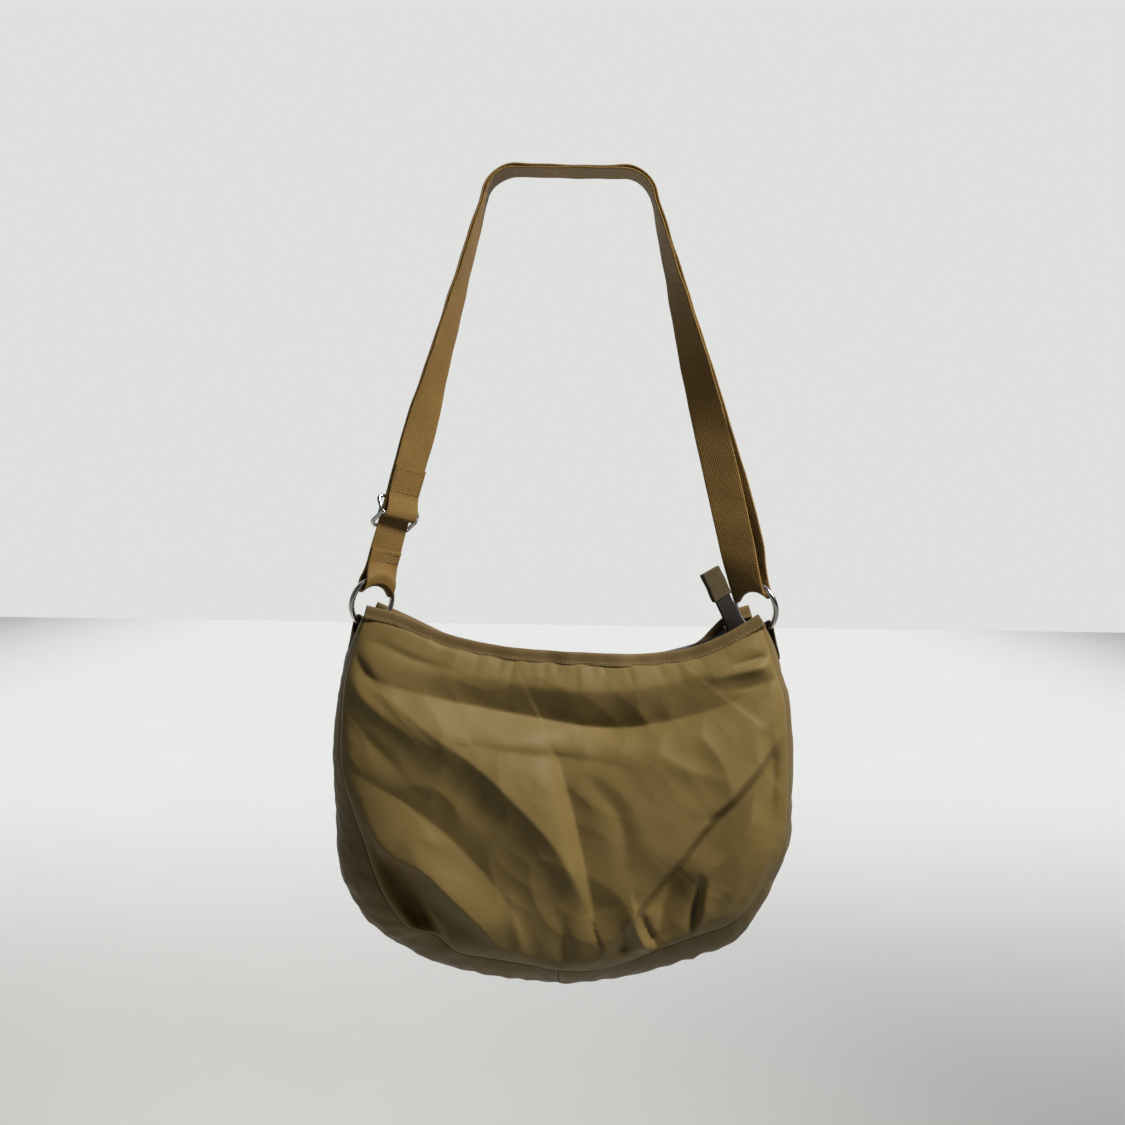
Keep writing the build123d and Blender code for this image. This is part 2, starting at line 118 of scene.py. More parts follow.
def mesh_object(name, points, faces, material, body, nodes=(), uvs=None):
    """A smooth-shaded mesh piece from points in millimetres, riding on a body."""
    mesh = bpy.data.meshes.new(name)
    mesh.from_pydata(((np.asarray(points) + [0, 0, LIFT]) * MM).tolist(), [], faces)
    if uvs is not None:
        layer = mesh.uv_layers.new(name="lay")
        flat = np.asarray(uvs, float) * MM
        loops = np.empty(len(mesh.loops), int)
        mesh.loops.foreach_get("vertex_index", loops)
        layer.data.foreach_set("uv", flat[loops].ravel())
    mesh.validate()
    mesh.shade_smooth()
    mesh.materials.append(material)
    piece = bpy.data.objects.new(name, mesh)
    bpy.context.scene.collection.objects.link(piece)
    if body:
        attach(piece, body)
    if nodes:
        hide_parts(*nodes)
    return piece


def sheet_points(grid, thickness):
    """Points and faces of a closed sheet: an outer grid and an inner one."""
    rows, cols = grid.shape[:2]
    inner = grid - grid_normals(grid) * thickness
    points = np.concatenate([grid.reshape(-1, 3), inner.reshape(-1, 3)])
    back = rows * cols
    faces = []
    for i in range(rows - 1):
        for j in range(cols - 1):
            a = i * cols + j
            b, c, d = a + 1, a + cols + 1, a + cols
            faces.append((a, d, c, b))
            faces.append((back + a, back + b, back + c, back + d))
    edge = (list(range(cols)) + [i * cols + cols - 1 for i in range(1, rows)]
            + [(rows - 1) * cols + j for j in range(cols - 2, -1, -1)]
            + [i * cols for i in range(rows - 2, 0, -1)])
    for a, b in zip(edge, edge[1:] + edge[:1]):
        faces.append((a, b, back + b, back + a))
    return points, faces


def sheet_piece(name, grid, thickness, material, body, nodes=()):
    """A closed sheet of fabric from a grid of its outer points."""
    points, faces = sheet_points(grid, thickness)
    rows, cols = grid.shape[:2]
    down, side = lengths_along(grid[:, cols // 2]), lengths_along(grid[rows // 2])
    uv = np.stack(np.meshgrid(side, down), axis=2).reshape(-1, 2)
    mesh_object(name, points, faces, material, body, nodes, np.concatenate([uv, uv]))


def ring_faces(count, around, closed=False):
    """Faces that join rings of points, capped at both ends unless closed."""
    faces = []
    for i in range(count if closed else count - 1):
        k = (i + 1) % count
        for j in range(around):
            m = (j + 1) % around
            faces.append((i * around + j, i * around + m, k * around + m, k * around + j))
    if not closed:
        faces.append(tuple(range(around - 1, -1, -1)))
        faces.append(tuple((count - 1) * around + j for j in range(around)))
    return faces


def tube_points(path, profile, laterals, normals, closed=False):
    """Points and faces of a profile carried along a path by its two directions."""
    points = (path[:, None] + laterals[:, None] * profile[None, :, 0:1]
              + normals[:, None] * profile[None, :, 1:2]).reshape(-1, 3)
    return points, ring_faces(len(path), len(profile), closed)


def rounded_profile(width, thickness, radius, across, corner):
    """A flat rounded rectangle, with extra points over its width."""
    half_w, half_t = width / 2 - radius, thickness / 2 - radius
    points = []
    for quarter, (sx, sz) in enumerate(((1, 1), (-1, 1), (-1, -1), (1, -1))):
        for k in range(corner + 1):
            angle = math.pi / 2 * (quarter + k / corner)
            points.append((sx * half_w + radius * math.cos(angle),
                           sz * half_t + radius * math.sin(angle)))
        if sx == sz:
            step = -sx * 2 * half_w / across
            for k in range(1, across):
                points.append((sx * half_w + step * k, sz * (half_t + radius)))
    return np.array(points)


def circle_profile(radius, count=20):
    """A round profile."""
    angles = np.linspace(0, 2 * math.pi, count, endpoint=False)
    return np.stack([radius * np.cos(angles), radius * np.sin(angles)], axis=1)


def path_frames(path, closed=False):
    """Lateral and normal directions that follow a path without twisting."""
    if closed:
        tangents = unit(np.roll(path, -1, axis=0) - np.roll(path, 1, axis=0))
    else:
        tangents = tangents_of(path)
    start = np.cross(tangents[0], [0, 1, 0])
    if np.linalg.norm(start) < 0.1:
        start = np.cross(tangents[0], [1, 0, 0])
    laterals = [unit(start)]
    for tangent in tangents[1:]:
        laterals.append(unit(laterals[-1] - tangent * np.dot(laterals[-1], tangent)))
    laterals = np.array(laterals)
    return laterals, np.cross(tangents, laterals)


def join_parts(parts):
    """One point list and one face list from several."""
    points, faces, start = [], [], 0
    for some_points, some_faces in parts:
        points.append(np.asarray(some_points, float))
        faces += [tuple(start + index for index in face) for face in some_faces]
        start += len(some_points)
    return np.concatenate(points), faces


def stitches(path, normals, length, gap, radius):
    """Short rounded stitches along a path, half sunk in the surface."""
    along = lengths_along(path)
    parts = []
    place, sunk, around = gap / 2, 0.7, 6
    shape = ((-1.0, 0.15), (-0.8, 0.7), (-0.35, 1.0), (0.35, 1.0), (0.8, 0.7), (1.0, 0.15))
    while place + length < along[-1]:
        where = [place + length * (0.5 + 0.5 * s[0]) for s in shape]
        centre, normal = rows_at(where, along, path), rows_at(where, along, normals)
        side = np.cross(normal, unit(centre[-1] - centre[0]))
        points = []
        for index, (_, size) in enumerate(shape):
            middle = centre[index] + normal[index] * radius * (size - sunk)
            for k in range(around):
                angle = math.tau * k / around
                points.append(middle + (side[index] * math.cos(angle)
                                        + normal[index] * math.sin(angle)) * radius * max(size, 0.4))
        parts.append((points, ring_faces(len(shape), around)))
        place += length + gap
    return join_parts(parts)


# ---------------------------------------------------------------- materials


class Nodes:
    """Adds and links the shader nodes of a new material or world."""

    def __init__(self, name, kind=bpy.data.materials, shader="Principled BSDF"):
        self.block = kind.new(name)
        self.block.use_nodes = True
        self.tree = self.block.node_tree
        self.shader = self.tree.nodes[shader]

    def add(self, kind, links=(), **values):
        node = self.tree.nodes.new(kind)
        for key, value in values.items():
            if key.startswith("in_"):
                node.inputs[key[3:].replace("_", " ")].default_value = value
            else:
                setattr(node, key, value)
        for socket, source in links:
            self.tree.links.new(source, node.inputs[socket])
        return node

    def link(self, source, socket):
        self.tree.links.new(source, self.shader.inputs[socket])

    def place(self, uv=False, scale=(1, 1, 1), turn=(0, 0, 0)):
        """Object coordinates, or the strip's own lengthwise coordinates."""
        if uv:
            source = self.add("ShaderNodeUVMap", uv_map="lay").outputs[0]
        else:
            source = self.add("ShaderNodeTexCoord").outputs["Object"]
        return self.add("ShaderNodeMapping", [("Vector", source)], in_Scale=scale,
                        in_Rotation=turn).outputs[0]

    def noise(self, vector, scale, detail=3.0, rough=0.55):
        node = self.add("ShaderNodeTexNoise", [("Vector", vector)], in_Scale=scale,
                        in_Detail=detail, in_Roughness=rough)
        return node.outputs["Fac"]

    def threads(self, vector, pitch, direction):
        """Parallel threads as a wave across one axis."""
        node = self.add("ShaderNodeTexWave", [("Vector", vector)],
                        in_Scale=math.pi * 2 / pitch / 20, in_Distortion=0.6,
                        in_Detail=1.0, in_Detail_Scale=2.0)
        node.bands_direction = direction
        return node.outputs["Fac"]

    def ramp(self, factor, low, high, start=0.0, end=1.0):
        return self.add("ShaderNodeMapRange", [("Value", factor)], in_From_Min=start,
                        in_From_Max=end, in_To_Min=low, in_To_Max=high).outputs[0]

    def mix(self, factor, dark, light):
        node = self.add("ShaderNodeMix", data_type="RGBA")
        self.tree.links.new(factor, node.inputs[0])
        node.inputs[6].default_value = (*dark, 1)
        node.inputs[7].default_value = (*light, 1)
        return node.outputs[2]

    def maths(self, operation, first, second):
        node = self.add("ShaderNodeMath", operation=operation)
        for index, value in enumerate((first, second)):
            if isinstance(value, (int, float)):
                node.inputs[index].default_value = value
            else:
                self.tree.links.new(value, node.inputs[index])
        return node.outputs[0]

    def bump(self, height, distance, strength=1.0, under=None):
        links = [("Height", height)]
        if under is not None:
            links.append(("Normal", under))
        node = self.add("ShaderNodeBump", links, in_Distance=distance, in_Strength=strength)
        return node.outputs[0]

    def finish(self, roughness, specular=0.5, metallic=0.0, sheen=0.0, sheen_rough=0.4,
               sheen_tint=(1, 1, 1)):
        for socket, value in (("Roughness", roughness), ("Specular IOR Level", specular),
                              ("Metallic", metallic), ("Sheen Weight", sheen),
                              ("Sheen Roughness", sheen_rough), ("Sheen Tint", (*sheen_tint, 1))):
            self.shader.inputs[socket].default_value = value
        return self.block


def nylon_material(name, dark, light, pitch=0.0007, shine=0.5, crumple=0.00035):
    """Plain-woven nylon: fine threads, soft crumples and a low sheen."""
    n = Nodes(name)
    where = n.place()
    broad = n.noise(where, 14, 4)
    fine = n.noise(where, 900, 2)
    tone = n.maths("ADD", n.maths("MULTIPLY", broad, 0.75), n.maths("MULTIPLY", fine, 0.25))
    n.link(n.mix(n.ramp(tone, 0, 1, 0.3, 0.7), dark, light), "Base Color")
    weave = n.maths("MULTIPLY", n.threads(where, pitch, "X"), n.threads(where, pitch, "Z"))
    crease = n.noise(n.place(scale=(1, 1, 1.5), turn=(0, 0.5, 0)), 45, 4, 0.6)
    bumps = n.bump(crease, crumple)
    n.link(n.bump(weave, 0.00006, 0.6, bumps), "Normal")
    n.link(n.ramp(broad, shine - 0.05, shine + 0.07, 0.3, 0.7), "Roughness")
    return n.finish(shine, 0.15, sheen=0.02, sheen_rough=0.3, sheen_tint=(0.9, 0.7, 0.4))


def webbing_material(name, dark, light):
    """Flat woven webbing: lengthwise ribs crossed by fine picks."""
    n = Nodes(name)
    where = n.place(uv=True)
    broad = n.noise(where, 30, 3)
    picks = n.threads(where, 0.0009, "Y")
    ribs = n.threads(where, 0.0013, "X")
    height = n.maths("MULTIPLY", picks, ribs)
    tone = n.maths("ADD", n.maths("MULTIPLY", height, 0.45), n.maths("MULTIPLY", broad, 0.55))
    n.link(n.mix(n.ramp(tone, 0, 1, 0.15, 0.75), dark, light), "Base Color")
    bumps = n.bump(broad, 0.0005)
    n.link(n.bump(height, 0.00022, 0.8, bumps), "Normal")
    return n.finish(0.6, 0.22, sheen=0.03, sheen_rough=0.35, sheen_tint=(0.95, 0.7, 0.4))


def thread_material(name, dark, light):
    """Twisted sewing thread."""
    n = Nodes(name)
    where = n.place(turn=(0.4, 0.5, 0.6))
    twist = n.threads(where, 0.0006, "X")
    n.link(n.mix(twist, dark, light), "Base Color")
    n.link(n.bump(twist, 0.0001), "Normal")
    return n.finish(0.6, 0.3, sheen=0.2)


def metal_material(name, colour, roughness):
    """Plated metal with slight smears and fine scratches."""
    n = Nodes(name)
    where = n.place()
    smear = n.noise(where, 120, 4, 0.65)
    scratch = n.noise(n.place(scale=(1, 1, 14)), 500, 3)
    n.link(n.mix(smear, tuple(c * 0.86 for c in colour), colour), "Base Color")
    n.link(n.ramp(smear, roughness * 0.7, roughness * 1.6, 0.3, 0.75), "Roughness")
    n.link(n.bump(scratch, 0.00002, 0.5), "Normal")
    return n.finish(roughness, 0.5, metallic=1.0)


NYLON = nylon_material("khaki_nylon", (0.150, 0.103, 0.033), (0.188, 0.131, 0.045))
# painted shade: the side band is the bag's own nylon drawn about a fifth darker, standing in for the
# shade on its sides
GUSSET_PAINTED_SHADE = nylon_material("gusset_nylon_painted_shade", (0.120, 0.080, 0.025), (0.155, 0.105, 0.034))
BINDING = nylon_material("binding_tape", (0.085, 0.056, 0.020), (0.190, 0.130, 0.052),
                         pitch=0.0009, shine=0.55, crumple=0.0006)
# painted shade: the ring tabs and the zip's end tab use a nylon much darker than the bag's own,
# standing in for the shade they hang in
TAB_PAINTED_SHADE = nylon_material("tab_nylon_painted_shade", (0.038, 0.027, 0.011), (0.070, 0.050, 0.020), shine=0.55)
LINING = nylon_material("lining_nylon", (0.070, 0.050, 0.026), (0.095, 0.068, 0.034))
WEBBING = webbing_material("ochre_webbing", (0.158, 0.088, 0.022), (0.285, 0.166, 0.044))
TAPE = nylon_material("zip_tape_black", (0.006, 0.005, 0.004), (0.014, 0.011, 0.009),
                      pitch=0.0008, shine=0.6, crumple=0.0003)
COIL = nylon_material("zip_coil_black", (0.010, 0.009, 0.008), (0.022, 0.019, 0.017),
                      shine=0.35, crumple=0.0001)
THREAD = thread_material("brown_thread", (0.14, 0.085, 0.035), (0.28, 0.18, 0.08))
RING_METAL = metal_material("ring_nickel", (0.78, 0.765, 0.74), 0.16)
ZIP_METAL = metal_material("zip_gunmetal", (0.05, 0.047, 0.045), 0.34)

# ---------------------------------------------------------------- the bag's own curves (mm)

RIM_FRONT = smooth_curve([
    (-134.8, -304.8), (-111.6, -310.6), (-79.4, -323.6), (-46.6, -330.8), (-13.8, -333.9),
    (19, -335.3), (51.7, -335.6), (84.4, -331.3), (106.3, -323), (122, -314.2), (133, -307)], 240)
RIM_BACK = smooth_curve([
    (-134, -306), (-111, -316), (-79, -330.5), (-46, -338.5), (-13, -342), (19, -343),
    (52, -342.5), (84, -337.5), (98, -331), (107, -321.5), (115, -313.5), (124, -307.5),
    (133, -304.5)], 240)

# matched places down the left side, along the bottom and up the right side:
# the front seam's x and z, then the side band's middle x and z
BAND = [
    (-134.8, -308, -147.5, -331), (-141, -325, -151.5, -342), (-149, -353, -154.8, -361),
    (-151.5, -383, -158.5, -386), (-151, -417, -160.4, -417), (-142.5, -446, -159.2, -447),
    (-135, -466, -158.2, -467), (-129, -484, -157, -485), (-118.5, -507, -150.5, -508),
    (-103.5, -525, -136, -531), (-84, -530.6, -109, -551), (-69.5, -541.5, -84, -561),
    (-45, -546, -50, -569), (-21.4, -549.6, -22, -572.3), (0, -553.4, 0, -573.9),
    (25.7, -552.8, 25, -572.6), (48, -546.5, 50, -567.8), (66.5, -538.5, 72, -561.8),
    (92, -529, 98, -554), (122, -516.5, 129, -538), (142.6, -488, 151.5, -496),
    (153, -464.5, 160.6, -470), (155.4, -440, 161.6, -443), (155.4, -402, 161.2, -402),
    (152.6, -366, 158, -369), (147, -348, 153, -353), (141, -330, 150.6, -341),
    (134, -309, 147.5, -331)]


def seam_depth(z, flare):
    """How far a seam stands from the middle plane: it flares towards the bottom."""
    return MOUTH_HALF + flare * np.clip((RIM_TOP - z) / BAG_HEIGHT, 0, 1)


def band_rows(count):
    """Front seam, middle and back seam points along the side band."""
    rows = smooth_curve([(b[0], 0, b[1], b[2], b[3]) for b in BAND], count)
    share = np.linspace(0, 1, count)
    ends = ease(np.minimum(share, 1 - share) / 0.06)
    front = np.stack([rows[:, 0], -seam_depth(rows[:, 2], FRONT_FLARE), rows[:, 2]], axis=1)
    middle = np.stack([rows[:, 3], np.full(count, -1.5), rows[:, 4]], axis=1)
    inset = np.stack([rows[:, 3], rows[:, 4]], axis=1)
    tangent = tangents_of(inset)
    inner = inset + np.stack([-tangent[:, 1], tangent[:, 0]], axis=1) * 9
    back_x = inner[:, 0] * ends + rows[:, 0] * (1 - ends)
    back_z = inner[:, 1] * ends + (rows[:, 2] - 2) * (1 - ends)
    back = np.stack([back_x, seam_depth(back_z, BACK_FLARE), back_z], axis=1)
    return front, middle, back


FRONT_SEAM, BAND_MIDDLE, BACK_SEAM = band_rows(1200)


def ridges(points, scale, seed):
    """Smooth noise with sharp ridges at points, in cells of a size in millimetres."""
    noise.seed_set(seed)
    shift = Vector((seed * 7.3, seed * 3.1, seed * 1.7))
    values = np.array([noise.noise(Vector(p) / scale + shift) for p in points])
    return 1 - 2 * np.abs(values)


def flat_ridges(first, second, scale, seed):
    """Ridges over two of a panel's own measures."""
    return ridges(np.stack([first, second, np.zeros(len(first))], axis=1), scale, seed)


def nearest(places, line):
    """Signed distance from 2-D places to a 2-D line, and the share of the line they lie at."""
    signed = np.empty(len(places))
    share = np.empty(len(places))
    last = len(line) - 1
    tangent = np.gradient(line, axis=0)
    step = np.maximum(np.linalg.norm(tangent, axis=1, keepdims=True), 1e-9)
    tangent /= step
    for start in range(0, len(places), 4000):
        some = places[start:start + 4000]
        gap = some[:, None] - line[None]
        best = np.argmin((gap ** 2).sum(axis=2), axis=1)
        delta = gap[np.arange(len(some)), best]
        way = tangent[best]
        aside = way[:, 0] * delta[:, 1] - way[:, 1] * delta[:, 0]
        along = (way * delta).sum(axis=1)
        beyond = np.where(best == 0, along < 0, (best == last) & (along > 0))
        away = np.sqrt((delta ** 2).sum(axis=1))
        signed[start:start + 4000] = np.where(beyond, np.sign(aside) * away, aside)
        moved = np.clip(along / step[best, 0], -0.5, 0.5)
        share[start:start + 4000] = np.clip((best + moved) / last, 0, 1)
    return signed, share


def gap_to(places, line):
    """Distance from 2-D places to a 2-D line."""
    return np.abs(nearest(places, line)[0])


def fold(places, stations, left_width, right_width):
    """A crease along stations of (x, z, height): left of its way it is left_width wide."""
    power = 1.22 if max(left_width, right_width) >= 13 else 1.6
    line = smooth_curve(stations, 90)
    signed, share = nearest(places, line[:, :2])
    height = np.interp(share, np.linspace(0, 1, len(line)), line[:, 2])
    width = np.where(signed > 0, left_width, right_width)
    return height * np.exp(-(np.abs(signed) / width) ** power)


def panel_grid(rim, seam, rows, cols, left_corner, right_corner):
    """A Coons grid of (x, z) places between a rim and a seam split at its two corners."""
    seam_xz = seam[:, [0, 2]]
    along = lengths_along(seam_xz)
    low = np.argmin(np.linalg.norm(seam_xz - left_corner, axis=1))
    high = np.argmin(np.linalg.norm(seam_xz - right_corner, axis=1))

    def piece(start, end, count):
        return rows_at(np.linspace(along[start], along[end], count), along, seam_xz)

    left = piece(0, low, rows)
    bottom = piece(low, high, cols)
    right = piece(high, len(seam) - 1, rows)[::-1]
    top = smooth_curve(rim, cols)
    top[0], top[-1] = left[0], right[0]
    u = np.linspace(0, 1, cols)[None, :, None]
    v = np.linspace(0, 1, rows)[:, None, None]
    return ((1 - v) * top[None] + v * bottom[None] + (1 - u) * left[:, None]
            + u * right[:, None] - (1 - u) * (1 - v) * top[0] - u * (1 - v) * top[-1]
            - (1 - u) * v * bottom[0] - u * v * bottom[-1])


def dome(distance, reach):
    """A rounded rise from 0 at an edge to 1 at a reach."""
    inner = 1 - np.clip(distance / reach, 0, 1)
    return np.sqrt(1 - inner ** 2)


FRONT_FOLDS = [
    # the deep swag under the rim, and the soft roll above it
    ([(-140, -350, -2), (-110, -360, -6), (-77, -368, -9), (-34, -377, -14), (19, -386, -17),
      (51, -385, -14), (94, -375, -9), (125, -362, -5), (142, -354, -1)], 17, 15),
    ([(-125, -338, 0.5), (-70, -350, 2), (-10, -358, 2.6), (40, -360, 2.6), (90, -349, 2),
      (122, -336, 0.5)], 9, 9),
    # big ridge from the left shoulder to the bottom middle, and its right edge
    ([(-142, -352, 2), (-118, -366, 5), (-88, -388, 8), (-54, -411, 10.5), (-22, -440, 11),
      (0, -466, 10), (12, -489, 8), (20, -508, 3)], 36, 14),
    ([(-10, -392, -1.5), (-1, -412, -8), (7, -440, -13), (14, -468, -13), (21, -500, -8),
      (25, -526, -1)], 24, 7),
    # ridge and hollow at the lower left
    ([(-140, -418, -2), (-108, -436, -4.5), (-72, -462, -5), (-40, -496, -4), (-20, -526, -1)],
     12, 14),
    ([(-134, -448, 2), (-117, -470, 5.5), (-92, -480, 8), (-70, -500, 8), (-54, -516, 6),
      (-42, -532, 2)], 17, 7),
    ([(-127, -468, -4), (-112, -490, -12), (-100, -508, -17), (-88, -524, -12)], 13, 11),
    ([(-104, -512, -3), (-97, -522, -6), (-90, -530, -5)], 2.6, 4),
    ([(-90, -512, 3), (-80, -524, 4), (-72, -538, 2)], 6, 4),
    # long diagonal crease from the right side to the bottom
    ([(149, -386, 1.5), (143, -394, 4), (119, -420, 8), (95, -446, 10), (75, -472, 10),
      (55, -498, 9), (44, -514, 7), (27, -540, 3)], 6, 34),
    ([(150, -396, -2), (124, -427, -5), (100, -453, -6), (81, -479, -6), (64, -500, -4),
      (58, -510, -1)], 12, 4),
    ([(80, -468, 0), (74, -492, -5), (69, -512, -7), (69, -532, -4)], 10, 8),
    ([(138, -410, 2), (130, -428, 6), (126, -448, 7), (112, -468, 6), (98, -478, 5),
      (90, -488, 1)], 12, 14),
    ([(136, -452, 1), (124, -478, 3), (112, -508, 1)], 4, 9),
    ([(146, -456, 1), (136, -484, 3), (124, -510, 1)], 4, 9),
    ([(141, -390, -2), (143, -410, -4.5), (143, -434, -4), (139, -456, -1)], 6, 7),
    ([(112, -436, -1), (104, -441, -3), (96, -443, -1)], 4, 4),
    ([(96, -480, 0), (94, -492, -3), (92, -506, -5.5), (91, -518, -4), (90, -534, 0)], 1.8, 2.8),
    ([(100, -484, 1), (97, -505, 3), (95, -524, 1.5)], 6, 3),
    ([(53, -506, -1), (57, -518, -6), (66, -535, -7)], 4.5, 2.2),
    ([(50, -502, 2), (52, -516, 6), (60, -534, 5)], 2.5, 8),
    ([(47, -520, -1), (45, -531, -3), (40, -536, -1)], 2.5, 3),
    ([(0, -512, -1), (4, -530, -3), (2, -548, -2)], 5, 8),
    ([(-34, -500, 1), (-28, -522, 2.5), (-24, -542, 1)], 6, 6),
    # short creases that leave the two upper corners
    ([(146, -334, -3.5), (134, -337, -3.5), (120, -341, -1)], 2.5, 3),
    ([(146, -339, 2), (128, -344, 3.5), (104, -350, 1.5)], 4.5, 5),
    ([(148, -349, -2.5), (130, -356, -2), (112, -359, -0.5)], 3, 5),
    ([(-143, -338, -2), (-133, -350, -3), (-120, -362, -1)], 4, 6),
    ([(-147, -352, 1.5), (-128, -372, 2.5), (-100, -392, 1)], 5, 6),
    ([(-150, -372, -1.5), (-128, -398, -2.5), (-104, -420, -0.5)], 6, 9),
    ([(-126, -330, -1), (-100, -341, -2), (-72, -348, -0.5)], 3, 5),
    ([(-60, -396, -1), (-10, -404, -2), (40, -410, -0.6)], 4, 9),
    ([(60, -398, 0.8), (84, -410, 2), (108, -416, 0.8)], 6, 8),
    ([(20, -420, -0.8), (40, -446, -2.2), (44, -476, -0.8)], 7, 7),
]
# gathers that hang from the front binding: x at the top, its lean, length and depth
GATHERS = [
    (-96, -4, 15, 0.5), (-57, -6, 24, 0.9), (-41, -5, 14, 1.2), (-33, -9, 36, 1.5),
    (-21, -3, 13, 0.8), (-12, -2, 19, 1.2), (-5, 2, 11, 0.7), (9, 2, 27, 1.3),
    (19, 4, 12, 0.7), (28, 2, 17, 1.1), (44, 8, 22, 1.3), (50, 4, 10, 0.7), (64, 9, 16, 1.0),
    (77, 9, 23, 1.1), (91, 10, 13, 0.8), (108, 12, 17, 0.6)]


def front_out(places):
    """How far the front panel stands in front of the middle plane at its (x, z) places."""
    x, z = places[:, 0], places[:, 1]
    from_seam = gap_to(places, FRONT_SEAM[:, [0, 2]])
    from_rim = gap_to(places, RIM_FRONT - [0, FOLD_EDGE])
    hang = 1 - (1 - np.clip(from_rim / 58, 0, 1)) ** 1.5
    out = seam_depth(z, FRONT_FLARE) + FRONT_BELLY * dome(from_seam, 46) * hang
    out += 3.5 * np.exp(-((x / 110) ** 2 + ((z + 470) / 60) ** 2)) - 2.0 * np.exp(-from_rim / 4)
    folds = np.zeros(len(places))
    for stations, left_width, right_width in FRONT_FOLDS:
        folds += fold(places, stations, left_width, right_width)
    for top, lean, length, depth in GATHERS:
        height = np.interp(top, RIM_FRONT[:, 0], RIM_FRONT[:, 1]) - FOLD_EDGE
        line = [(top, height, -depth * 0.5), (top + lean * 0.4, height - length * 0.5, -depth * 0.4),
                (top + lean, height - length, 0)]
        folds += fold(places, line, 2.0 + 0.3 * lean % 1.7, 3.2)
    folds += 1.7 * flat_ridges(x, 0.6 * x + z, 46, 3)
    folds += 0.55 * flat_ridges(x - 0.5 * z, z * 0.6, 24, 5)
    folds += 0.4 * flat_ridges(0.8 * x + 0.9 * z, 0.4 * (z - x), 21, 9)
    pucker = 0.22 * np.sin(np.arctan2(z + 430, x) * 70 + 3 * np.sin(x / 23))
    folds += pucker * np.exp(-((from_seam - 5) / 5) ** 2)
    return out + folds * ease(from_seam / 12) * ease(from_rim / 4)


BACK_FOLDS = [
    ([(-140, -352, -2), (-80, -368, -6), (0, -384, -8), (80, -370, -6), (140, -354, -2)], 13, 15),
    ([(-130, -380, 1), (-70, -430, 4), (-30, -490, 3)], 20, 12),
    ([(135, -390, 1), (80, -440, 4), (40, -500, 3)], 12, 20),
    ([(-110, -480, -3), (-92, -505, -4), (-84, -530, -3)], 6, 7),
    ([(100, -480, -3), (88, -508, -5), (82, -532, -3)], 6, 6),
    ([(0, -430, -1), (6, -480, -3), (2, -540, -2)], 9, 9),
    ([(-45, -400, 1), (-8, -440, 3), (20, -500, 2)], 14, 14)]


def back_out(places):
    """How far the back panel stands behind the middle plane."""
    x, z = places[:, 0], places[:, 1]
    from_seam = gap_to(places, BACK_SEAM[:, [0, 2]])
    from_rim = gap_to(places, RIM_BACK - [0, FOLD_EDGE])
    out = seam_depth(z, BACK_FLARE) + BACK_BELLY * dome(from_seam, 44) * dome(from_rim, 40)
    folds = np.zeros(len(places))
    for stations, left_width, right_width in BACK_FOLDS:
        folds += fold(places, stations, left_width, right_width) * 0.8
    folds += 0.9 * flat_ridges(x, 0.6 * x + z, 32, 13)
    folds += 0.35 * flat_ridges(x, 0.6 * x + z, 13, 15)
    return out + folds * ease(from_seam / 12) * ease(from_rim / 4)


def lining_grid(grid):
    """A coarser grid that lies inside a cloth's own."""
    return grid[::3, ::3] - grid_normals(grid)[::3, ::3] * LINING_INSET


def build_panels():
    """Front and back panels with their linings."""
    for label, facing, rim, seam, depth, size, corners in (
            ("front", -1, RIM_FRONT, FRONT_SEAM, front_out, (190, 230), ((-112, -516), (138, -497))),
            ("back", 1, RIM_BACK, BACK_SEAM, back_out, (130, 160), ((-128, -512), (134, -505)))):
        places = panel_grid(rim - [0, PANEL_DROP], seam, *size, *corners)
        out = depth(places.reshape(-1, 2)).reshape(size)
        grid = np.stack([places[..., 0], facing * out, places[..., 1]], axis=2)[:, ::-facing]
        sheet_piece(label + "_panel_cloth", grid, CLOTH, NYLON, "bag", [label + "_panel"])
        sheet_piece(label + "_lining_cloth", lining_grid(grid), LINING_CLOTH, LINING, "bag",
                    [label + "_lining"])


def build_gussets():
    """The side band in its two halves, which meet under the middle of the bag."""
    half = int(np.argmin(np.abs(BAND_MIDDLE[:, 0]) + (BAND_MIDDLE[:, 2] > -500) * 1e3))
    t = np.linspace(0, 1, 34)[None, :, None]
    linings = []
    for label, pick in (("left", slice(0, half + 1, 2)), ("right", slice(half, None, 2))):
        front, middle, back = FRONT_SEAM[pick], BAND_MIDDLE[pick], BACK_SEAM[pick]
        control = 2 * middle - (front + back) / 2
        grid = ((1 - t) ** 2 * front[:, None] + 2 * t * (1 - t) * control[:, None]
                + t ** 2 * back[:, None])
        normals = grid_normals(grid)
        away = grid - np.array([0, 0, -430])
        sign = np.sign((normals * away).sum(axis=2, keepdims=True))
        run = lengths_along(middle)
        low = ease((-455 - middle[:, 2]) / 60)[:, None]
        ripple = (0.1 + 0.35 * low) * np.sin(run / 2.9 + 1.5 * np.sin(run / 17))[:, None]
        ripple = ripple + (0.2 + 0.5 * low) * np.sin(run / 11 + 2 * np.sin(run / 31))[:, None]
        waves = ridges(grid.reshape(-1, 3), 14, 21).reshape(grid.shape[:2])
        lift = (ripple * (0.35 + 0.65 * np.abs(2 * t[..., 0] - 1)) + 0.8 * waves)
        lift = lift * np.sin(math.pi * t[..., 0]) ** 0.7
        grid = grid + normals * sign * lift[..., None]
        if sign.mean() < 0:
            grid = grid[:, ::-1]
        # painted shade: the side band's darker nylon stands in for the shade it lies in
        sheet_piece("gusset_cloth_" + label, grid, CLOTH, GUSSET_PAINTED_SHADE, "bag", ["gusset_" + label])
        linings.append(lining_grid(grid))
    inner = np.concatenate([linings[0][:-1], linings[1]])
    sheet_piece("gusset_lining_cloth", inner, LINING_CLOTH, LINING, "bag", ["gusset_lining"])


